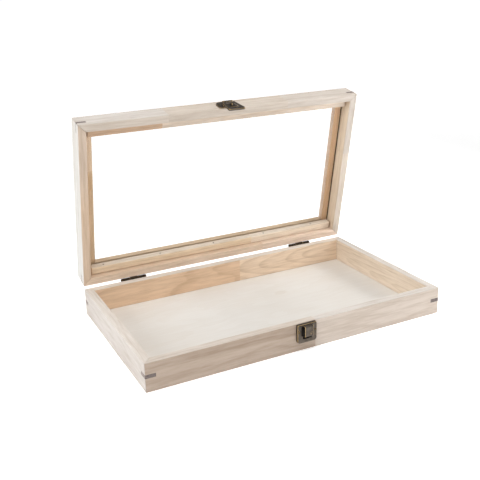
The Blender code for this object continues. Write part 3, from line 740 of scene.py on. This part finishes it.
def make_beads(brass):
    # The front bead's brown is partly painted shade, for the shade that it lies in.
    tones = {"front": (0.26, (BEAD_BROWN, BEAD_GREY)), "back": (0.64, (BEAD_YELLOW, BEAD_PALE))}
    for side, (joint, pair) in tones.items():
        node = f"glazing_bead_{side}"
        low, high = local_box(node)
        size, middle = high - low, (low + high) / 2
        section = rectangle(-size.y / 2, -size.z / 2, size.y / 2, size.z / 2)
        shape = prism(rounded(section, (EASED,) * 4, 3), -size.x / 2, size.x / 2)
        divide(shape, (joint - 0.5) * size.x)
        # Painted shade: the beads' top faces take a tone of their own, darker than the back bead.
        top = (1, MIDDLE - size.y / 2, NEAR - size.y / 2, BEAD_TOP)
        _, materials = block_row(f"bead_{side}", (joint,), pair, pith=(0.02, 0.03), slope=0.02,
                                 ring=0.004, contrast=0.35, zones=(top,))
        place = Matrix.Translation(middle)
        bead = piece(node, shape, materials, place)
        holes = []
        for brad in [f"bead_brad_{side}_{i}" for i in range(1, 6)]:
            brad_low, brad_high = local_box(brad)
            radius = (brad_high.x - brad_low.x) / 2
            length = brad_high.y - brad_low.y
            head = Vector(((brad_low.x + brad_high.x) / 2,
                           brad_low.y if side == "back" else brad_high.y,
                           (brad_low.z + brad_high.z) / 2))
            at = Matrix.Translation(head) @ (TO_FRONT if side == "back" else TO_BACK)
            width = HOLE_WIDTH * radius
            hole = turned([(0, OVERCUT), (width, OVERCUT), (width, -BRAD_HOLE_DEPTH),
                           (0, -BRAD_HOLE_DEPTH)], 24)
            hole.transform(FRAMES["lid"] @ at)
            holes.append(hole)
            profile = [(share * radius, height * MM) for share, height in BRAD_HEAD]
            profile += [(profile[-1][0], BRAD_POINT - length), (0, -length)]
            even_shading(piece(brad, turned(profile, 24), [brass], at), 50)
        subtract(bead, holes)
        inward = (FRAMES["lid"] @ place).inverted()
        for face in bead.data.polygons:
            face.material_index = int((inward @ face.center).x > (joint - 0.5) * size.x)
        store_grain(bead.data, inward)
        even_shading(bead, 32)


def make_pane():
    shape = box(*local_box("glass_pane"))
    bmesh.ops.bevel(shape, geom=shape.edges[:], offset=0.15 * MM, segments=1, affect="EDGES")
    shape.normal_update()
    for face in shape.faces:
        face.material_index = int(abs(face.normal.z) < 0.9)
    piece("glass_pane", shape, [clear_glass("clear_pane"), glass_edge("pane_edge")],
          Matrix.Identity(4)).data.shade_flat()


# ---------------------------------------------------------------- metal

def pan(corners, radii, window, window_radii, back, face, bend):
    """A pressed pan as an open sheet: outlines in (x, z), its skirt from y = -back to its face at
    y = -face, and a window in the face.  Part of the bend round the face is rubbed bright."""
    shape = bmesh.new()
    loops = [[(x, -back, z) for x, z in rounded(corners, radii)]]
    for step in range(ARC_STEPS + 1):
        angle = math.pi / 2 * step / ARC_STEPS
        inwards = bend * (1 - math.cos(angle))
        tighter = [max(radius - inwards, 0.1 * MM) for radius in radii]
        standoff = face - bend + bend * math.sin(angle)
        loops.append([(x, -standoff, z) for x, z in rounded(inset(corners, inwards), tighter)])
    rim = loft(shape, loops)[-1]
    shape.faces.ensure_lookup_table()
    ring = len(loops[0])
    for bent in shape.faces[2 * ring:4 * ring]:
        bent.material_index = 1
    hole = [shape.verts.new((x, -face, z)) for x, z in rounded(window, window_radii)]
    edges = [shape.edges.new((hole[i - 1], hole[i])) for i in range(len(hole))]
    edges += [shape.edges.get((rim[i - 1], rim[i])) for i in range(len(rim))]
    bmesh.ops.triangle_fill(shape, use_beauty=True, use_dissolve=False, edges=edges)
    bmesh.ops.recalc_face_normals(shape, faces=shape.faces)
    flat = max(shape.faces, key=lambda item: abs(item.normal.y) * item.calc_area())
    if flat.normal.y > 0:
        bmesh.ops.reverse_faces(shape, faces=shape.faces[:])
    return shape


def thickened(thing, thickness, offset=-1):
    """Gives an open sheet its thickness, inwards at -1, outwards at 1 or to both sides at 0."""
    sheet = thing.modifiers.new("sheet", "SOLIDIFY")
    sheet.thickness = thickness
    sheet.offset = offset
    sheet.use_even_offset = True
    return thing


def strip(path, start, end):
    """A bent strip as an open sheet: a path in (y, z) drawn out along X."""
    shape = bmesh.new()
    sides = [[shape.verts.new((x, y, z)) for y, z in path] for x in (start, end)]
    for i in range(len(path) - 1):
        shape.faces.new((sides[0][i], sides[0][i + 1], sides[1][i + 1], sides[1][i]))
    return shape


def worn_edged(thing):
    """Eases a thing's edges and gives them its second metal."""
    return even_shading(bevelled(thing, METAL_EDGE, 1))


def sheet_piece(name, shape, metals, place, node=None, thickness=SHEET, offset=-1):
    """A piece of bent sheet metal with worn edges, from an open sheet."""
    thing = piece(name, shape, metals, place, node=node)
    worn_edged(thickened(thing, thickness, offset))


def make_nail(name, metal, outward):
    """A round-headed nail, modelled from the box of its CAD node; outward is the way it faces
    along Y."""
    low, high = local_box(name)
    radius = (high.x - low.x) / 2
    shank, point, underside = 0.5 * radius, 1.2 * MM, -0.05 * MM
    length = high.y - low.y - NAIL_DOME
    seat = low.y + NAIL_DOME if outward < 0 else high.y - NAIL_DOME
    place = (Matrix.Translation(((low.x + high.x) / 2, seat, (low.z + high.z) / 2))
             @ (TO_FRONT if outward < 0 else TO_BACK))
    profile = [(radius * math.sin(angle), NAIL_DOME * (0.12 + 0.88 * math.cos(angle)))
               for angle in [math.pi / 2 * step / 8 for step in range(9)]]
    profile += [(0.92 * radius, underside), (shank, underside), (shank, point - length),
                (0, -length)]
    even_shading(piece(name, turned(profile), [metal], place), 60)


def make_pin(name, metal, centre, half_profile):
    """A pin along X with two like heads; half_profile runs from one end to the shank."""
    profile = half_profile + [(radius, -height) for radius, height in reversed(half_profile)]
    even_shading(piece(name, turned(profile), [metal], Matrix.Translation(centre) @ ALONG_X), 50)


def make_catch(metals, shade_paint, nail_metal):
    """A pressed pan with a window that is wide above and narrow below, and a tongue bent out of
    the window's top edge, forward, down and back towards the wall."""
    node = "catch_plate"
    low, high = local_box(node)
    wall = local_box("base_front_wall")[0].y
    half = high.x
    back, reach = wall - high.y, wall - low.y
    heads = local_box("catch_nail_left")[0].y + NAIL_DOME      # underside of the nails' heads
    face = wall - heads - 0.15 * MM
    place = Matrix.Translation((0, wall, 0))
    corners = rectangle(-half, low.z, half, high.z)
    corner_radii = (3 * MM, 3 * MM, 1.1 * MM, 1.1 * MM)
    wide, narrow = 7.2 * MM, 5.3 * MM
    sill, step, top = low.z + 4.2 * MM, low.z + 7.8 * MM, high.z - 2.1 * MM
    window = [(-narrow, sill), (narrow, sill), (narrow, step), (wide, step), (wide, top),
              (-wide, top), (-wide, step), (-narrow, step)]
    window_radii = [radius * MM for radius in (0.5, 0.5, 0.2, 0.5, 0.5, 0.5, 0.5, 0.2)]
    shape = pan(corners, corner_radii, window, window_radii, back, face, bend=1 * MM)
    sheet_piece(node, shape, metals, place)

    root = face - 0.3 * SHEET
    upper, lower, lip = high.z - 0.8 * MM, low.z + 7.7 * MM, 4.5 * MM
    tongue_half = 5 * MM
    path = rounded([(-root, upper), (-reach, upper), (-reach, lower), (-lip, lower)],
                   (0, 1.3 * MM, 1.2 * MM, 0), closed=False)
    sheet_piece("catch_tongue", strip(path, -tongue_half, tongue_half), metals, place, node=node)
    # Painted shade: a thin, dull black sheet behind the window stands for the shade inside the pan.
    recess = bmesh.new()
    recess.faces.new([recess.verts.new((x, -0.35 * MM, z)) for x, z in inset(corners, SHEET)])
    shade_sheet = piece("catch_backing", recess, [shade_paint], place, node=node)
    thickened(shade_sheet, 0.1 * MM)
    for side in ("left", "right"):
        make_nail(f"catch_nail_{side}", nail_metal, -1)


def make_hasp(metals, nail_metal):
    """A plate with a rounded top, nailed to the lid's front rail, two lugs and a pin."""
    node = "hasp_plate"
    low, high = local_box(node)
    pin_low, pin_high = local_box("hasp_pin")
    pivot = Vector((0, (pin_low.y + pin_high.y) / 2, (pin_low.z + pin_high.z) / 2))
    half = high.x
    thickness = 1 * MM
    corners = rectangle(-half, low.z, half, high.z)
    outline = rounded(corners, [0.8 * MM, 0.8 * MM, 9 * MM, 9 * MM], 2 * ARC_STEPS)
    shape = bmesh.new()
    flat = shape.faces.new([shape.verts.new((x, 0, z)) for x, z in outline])
    if flat.normal.y > 0:
        flat.normal_flip()
    place = Matrix.Translation((0, high.y - thickness, 0))
    sheet_piece(node, shape, metals, place, thickness=thickness)

    eye, foot_half, lug_x, lug_half = 1.7 * MM, 2.3 * MM, 5.45 * MM, 0.45 * MM
    foot = high.y - 0.4 * MM
    lug = [(foot, pivot.z - foot_half), (foot, pivot.z + foot_half)]
    for step in range(13):
        angle = math.pi / 2 + math.pi * step / 12
        lug.append((pivot.y + eye * math.cos(angle), pivot.z + eye * math.sin(angle)))
    for side, x in (("left", -lug_x), ("right", lug_x)):
        worn_edged(piece(f"hasp_lug_{side}", prism(lug, x - lug_half, x + lug_half), metals,
                         Matrix.Identity(4), node=node))

    end = (pin_high.x - pin_low.x) / 2
    make_pin("hasp_pin", metals[0], pivot,
             [(0, end), (0.6 * MM, end - 0.08 * MM), (1.0 * MM, end - 0.3 * MM),
              (1.1 * MM, end - 0.5 * MM), (0.6 * MM, end - 0.55 * MM)])
    for side in ("left", "right"):
        make_nail(f"hasp_nail_{side}", nail_metal, -1)


def make_flap(metals):
    """A pan that widens from its shoulder to its free end, with a window for the tongue, and a
    neck that rolls round the pin.  The flap's frame has its origin on the pin."""
    node = "hasp_flap"
    low, high = local_box(node)
    half, end = high.x, low.z
    face = 1.2 * MM                         # the flap's front stands this far before its pin
    flange = face - 2.1 * MM                # and its flange reaches back to here
    shoulder, shoulder_half = -2.6 * MM, 7.4 * MM
    corners = [(-half, end), (half, end), (shoulder_half, shoulder), (-shoulder_half, shoulder)]
    corner_radii = [2.5 * MM, 2.5 * MM, 0.6 * MM, 0.6 * MM]
    window_half, window_low, window_high = 5.3 * MM, end + 6.1 * MM, shoulder - 2.7 * MM
    window = rectangle(-window_half, window_low, window_half, window_high)
    shape = pan(corners, corner_radii, window, [0.5 * MM] * 4, flange, face, bend=0.9 * MM)
    sheet_piece(node, shape, metals, Matrix.Identity(4))

    roll, neck_half = 1.5 * MM, 4.7 * MM
    path = [(-face, shoulder - 0.4 * MM), (-face, shoulder + 0.3 * MM)]
    for step in range(17):
        angle = math.pi - math.radians(300) * step / 16
        path.append((roll * math.cos(angle), roll * math.sin(angle)))
    sheet_piece("flap_roll", strip(path, -neck_half, neck_half), metals, Matrix.Identity(4),
                node=node, thickness=0.6 * MM, offset=1)


def leaf_sheet(spans, half, leaf_y, reach, roll, upward):
    """A hinge leaf as one open sheet: a plate from its free edge to the relief beside the other
    leaf's knuckles, and over each span of X a knuckle that curls on around the axis."""
    relief, start = 2.7 * MM, 1.2 * MM      # from the axis
    cuts = sorted({-half, half, *(x for span in spans for x in span)})
    path = [(leaf_y, upward * reach), (leaf_y, upward * relief), (leaf_y, upward * start)]
    for step in range(19):
        angle = math.radians(165 + 305 * step / 18)
        path.append((roll * math.cos(angle), upward * roll * math.sin(angle)))
    shape = bmesh.new()
    grid = [[shape.verts.new((x, y, z)) for y, z in path] for x in cuts]
    for i in range(len(cuts) - 1):
        middle = (cuts[i] + cuts[i + 1]) / 2
        curled = any(low < middle < high for low, high in spans)
        for j in range(len(path) - 1):
            if j == 0 or curled:
                shape.faces.new((grid[i][j], grid[i + 1][j], grid[i + 1][j + 1], grid[i][j + 1]))
    bmesh.ops.delete(shape, geom=[v for v in shape.verts if not v.link_faces], context="VERTS")
    return shape


def make_hinge(side, metals, nail_metal):
    """Two leaves and a pin; the base's leaf has a knuckle at each end, the lid's one between."""
    axis = Vector(JOINTS["lid_hinge"]["pos_m"])
    pin_low, pin_high = local_box(f"hinge_{side}_pin")
    middle = (pin_low.x + pin_high.x) / 2
    knuckle, knuckle_gap, barrel = 9.8 * MM, 0.3 * MM, 2.0 * MM
    for leaf, body, upward in (("base_leaf", "base", -1), ("lid_leaf", "lid", 1)):
        node = f"hinge_{side}_{leaf}"
        low, high = local_box(node)
        half = (high.x - low.x) / 2
        centre = axis if body == "base" else Vector((0, 0, 0))
        reach = centre.z - low.z if body == "base" else high.z
        ends = [(-half, knuckle - half), (half - knuckle, half)]
        inner = half - knuckle - knuckle_gap
        spans = ends if body == "base" else [(-inner, inner)]
        sheet = leaf_sheet(spans, half, low.y - centre.y + SHEET / 2, reach, barrel - SHEET / 2,
                           upward)
        place = Matrix.Translation((middle, centre.y, centre.z))
        sheet_piece(node, sheet, metals, place, offset=0)
        for i in (1, 2):
            make_nail(f"hinge_{side}_{leaf.replace('leaf', 'nail')}_{i}", nail_metal, 1)
    end = (pin_high.x - pin_low.x) / 2
    make_pin(f"hinge_{side}_pin", metals[0], (middle, axis.y, axis.z),
             [(0, end), (0.9 * MM, end - 0.1 * MM), (1.4 * MM, end - 0.4 * MM),
              (1.5 * MM, end - 0.68 * MM), (0.85 * MM, end - 0.7 * MM)])


# ---------------------------------------------------------------- studio

def make_camera():
    """A long lens from the front left, a little above the case and rolled slightly."""
    camera = bpy.data.objects.new("camera", bpy.data.cameras.new("camera"))
    camera.data.lens = 56.0
    camera.data.shift_x = 0.0179
    camera.data.shift_y = -0.0641
    heading, tilt, roll = (math.radians(angle) for angle in (-26.01, 72.565, -1.704))
    camera.matrix_world = (Matrix.Translation((-0.3687, -0.6896, 0.3712))
                           @ Matrix.Rotation(heading, 4, "Z") @ Matrix.Rotation(tilt, 4, "X")
                           @ Matrix.Rotation(roll, 4, "Z"))
    scene.collection.objects.link(camera)
    scene.camera = camera


AIM = (0, 0, 0.1)           # the middle of the case, where the softboxes point
SOFTBOXES = (               # name, place, size, watts
    ("left_softbox", (-1.32, 0.0, 0.58), 0.8, 12.0),
    ("front_left_softbox", (-0.57, -0.57, 1.25), 0.8, 7.6),
    ("top_softbox", (0.0, -0.07, 0.9), 0.5, 3.3),
    ("back_softbox", (0.0, 1.07, 1.0), 0.8, 1.5),
    ("right_softbox", (0.9, 0.0, 1.17), 0.8, 1.3),
    ("low_right_softbox", (0.68, -0.07, 0.25), 0.5, 5.8),
)
FLOOR_RADIUS, FLOOR_SINK = 25, 0.2 * MM
BACKDROP_RADIUS, BACKDROP_HEIGHT, BACKDROP_FOOT = 24, 20.0, -0.1
ROUND = 96                  # segments of the floor and the backdrop


def softbox(name, place, size, watts):
    light = bpy.data.lights.new(name, "AREA")
    light.shape = "SQUARE"
    light.size = size
    light.energy = watts
    thing = bpy.data.objects.new(name, light)
    thing.location = place
    thing.rotation_euler = (Vector(place) - Vector(AIM)).to_track_quat("Z", "Y").to_euler()
    scene.collection.objects.link(thing)


def stage_piece(name, shape, shader_name):
    """A matt white part of the studio, the shader that its maker sets the glow of, and the
    shader's place on the part."""
    mesh = bpy.data.meshes.new(name)
    shape.to_mesh(mesh)
    shape.free()
    thing = bpy.data.objects.new(name, mesh)
    scene.collection.objects.link(thing)
    shader = Shader(shader_name)
    shader.set(Base_Color=(0.9, 0.9, 0.9, 1), Roughness=0.9, Emission_Color=(1, 1, 1, 1))
    mesh.materials.append(shader.material)
    return thing, shader, shader.node("ShaderNodeTexCoord", {}).outputs["Object"]


def make_backdrop():
    """A white wall around the far edge of the floor, so that low views show no dark horizon.  It
    is left out of the lighting."""
    shape = bmesh.new()
    rings = [bmesh.ops.create_circle(shape, segments=ROUND, radius=BACKDROP_RADIUS,
                                     matrix=Matrix.Translation((0, 0, height)))["verts"]
             for height in (BACKDROP_FOOT, BACKDROP_HEIGHT)]
    for i in range(ROUND):
        j = (i + 1) % ROUND
        shape.faces.new((rings[0][i], rings[0][j], rings[1][j], rings[1][i]))
    backdrop, shader, place = stage_piece("backdrop", shape, "white_backdrop")
    backdrop.visible_diffuse = False
    backdrop.visible_glossy = False
    backdrop.visible_shadow = False
    cloud = shader.noise(shader.stretched(place, (0.1, 0.1, 0.1)))
    shader.set(Emission_Strength=shader.remap(cloud, 0, 1, 1.0, 1.05))


def make_studio():
    shape = bmesh.new()
    bmesh.ops.create_circle(shape, cap_ends=True, segments=ROUND, radius=FLOOR_RADIUS)
    floor, shader, place = stage_piece("floor", shape, "white_sweep")
    floor.location.z = -FLOOR_SINK
    distance = shader.node("ShaderNodeVectorMath", {0: place}, operation="LENGTH").outputs["Value"]
    shader.set(Emission_Strength=shader.remap(distance, 0.5, 1.6, 0.35, 0.95))
    make_backdrop()

    world = bpy.data.worlds.new("studio")
    world.use_nodes = True
    background = world.node_tree.nodes["Background"]
    background.inputs["Color"].default_value = (1, 1, 1, 1)
    background.inputs["Strength"].default_value = 0.1
    scene.world = world
    scene.view_settings.view_transform = "Standard"
    for settings in SOFTBOXES:
        softbox(*settings)


# ---------------------------------------------------------------- the case

def make_case():
    # Each frame's second spline material is a paler copy, for the splines' left faces: painted light.
    spline = dark_spline("stained_spline", linear(133, 121, 116), linear(98, 86, 82))
    wear_and_light = dark_spline("base_light_side_spline", linear(152, 139, 133), linear(112, 99, 94))
    lid_light_side = dark_spline("lid_light_side_spline", linear(184, 180, 175), linear(158, 152, 146))
    bronze = [
        plated("antique_bronze_face", linear(104, 96, 88), linear(176, 150, 112), 0.14, 0.38),
        plated("antique_bronze_edge", linear(120, 106, 88), linear(196, 166, 118), 0.75, 0.32)]
    dark = [plated("dark_bronze_face", linear(70, 60, 50), linear(150, 124, 90), 0.1, 0.4),
            plated("dark_bronze_edge", linear(92, 80, 66), linear(170, 142, 104), 0.45, 0.35)]
    brass = plated("brass_nail_head", linear(90, 78, 58), linear(146, 122, 82), 0.35, 0.38)
    make_base([spline, wear_and_light])
    make_lid([spline, lid_light_side])
    make_beads(brass)
    make_pane()
    make_catch(bronze, painted_shade("painted_shade_metal"), brass)
    make_hasp(bronze, brass)
    make_flap(bronze)
    for side in ("left", "right"):
        make_hinge(side, dark, brass)


make_camera()
make_case()
make_studio()
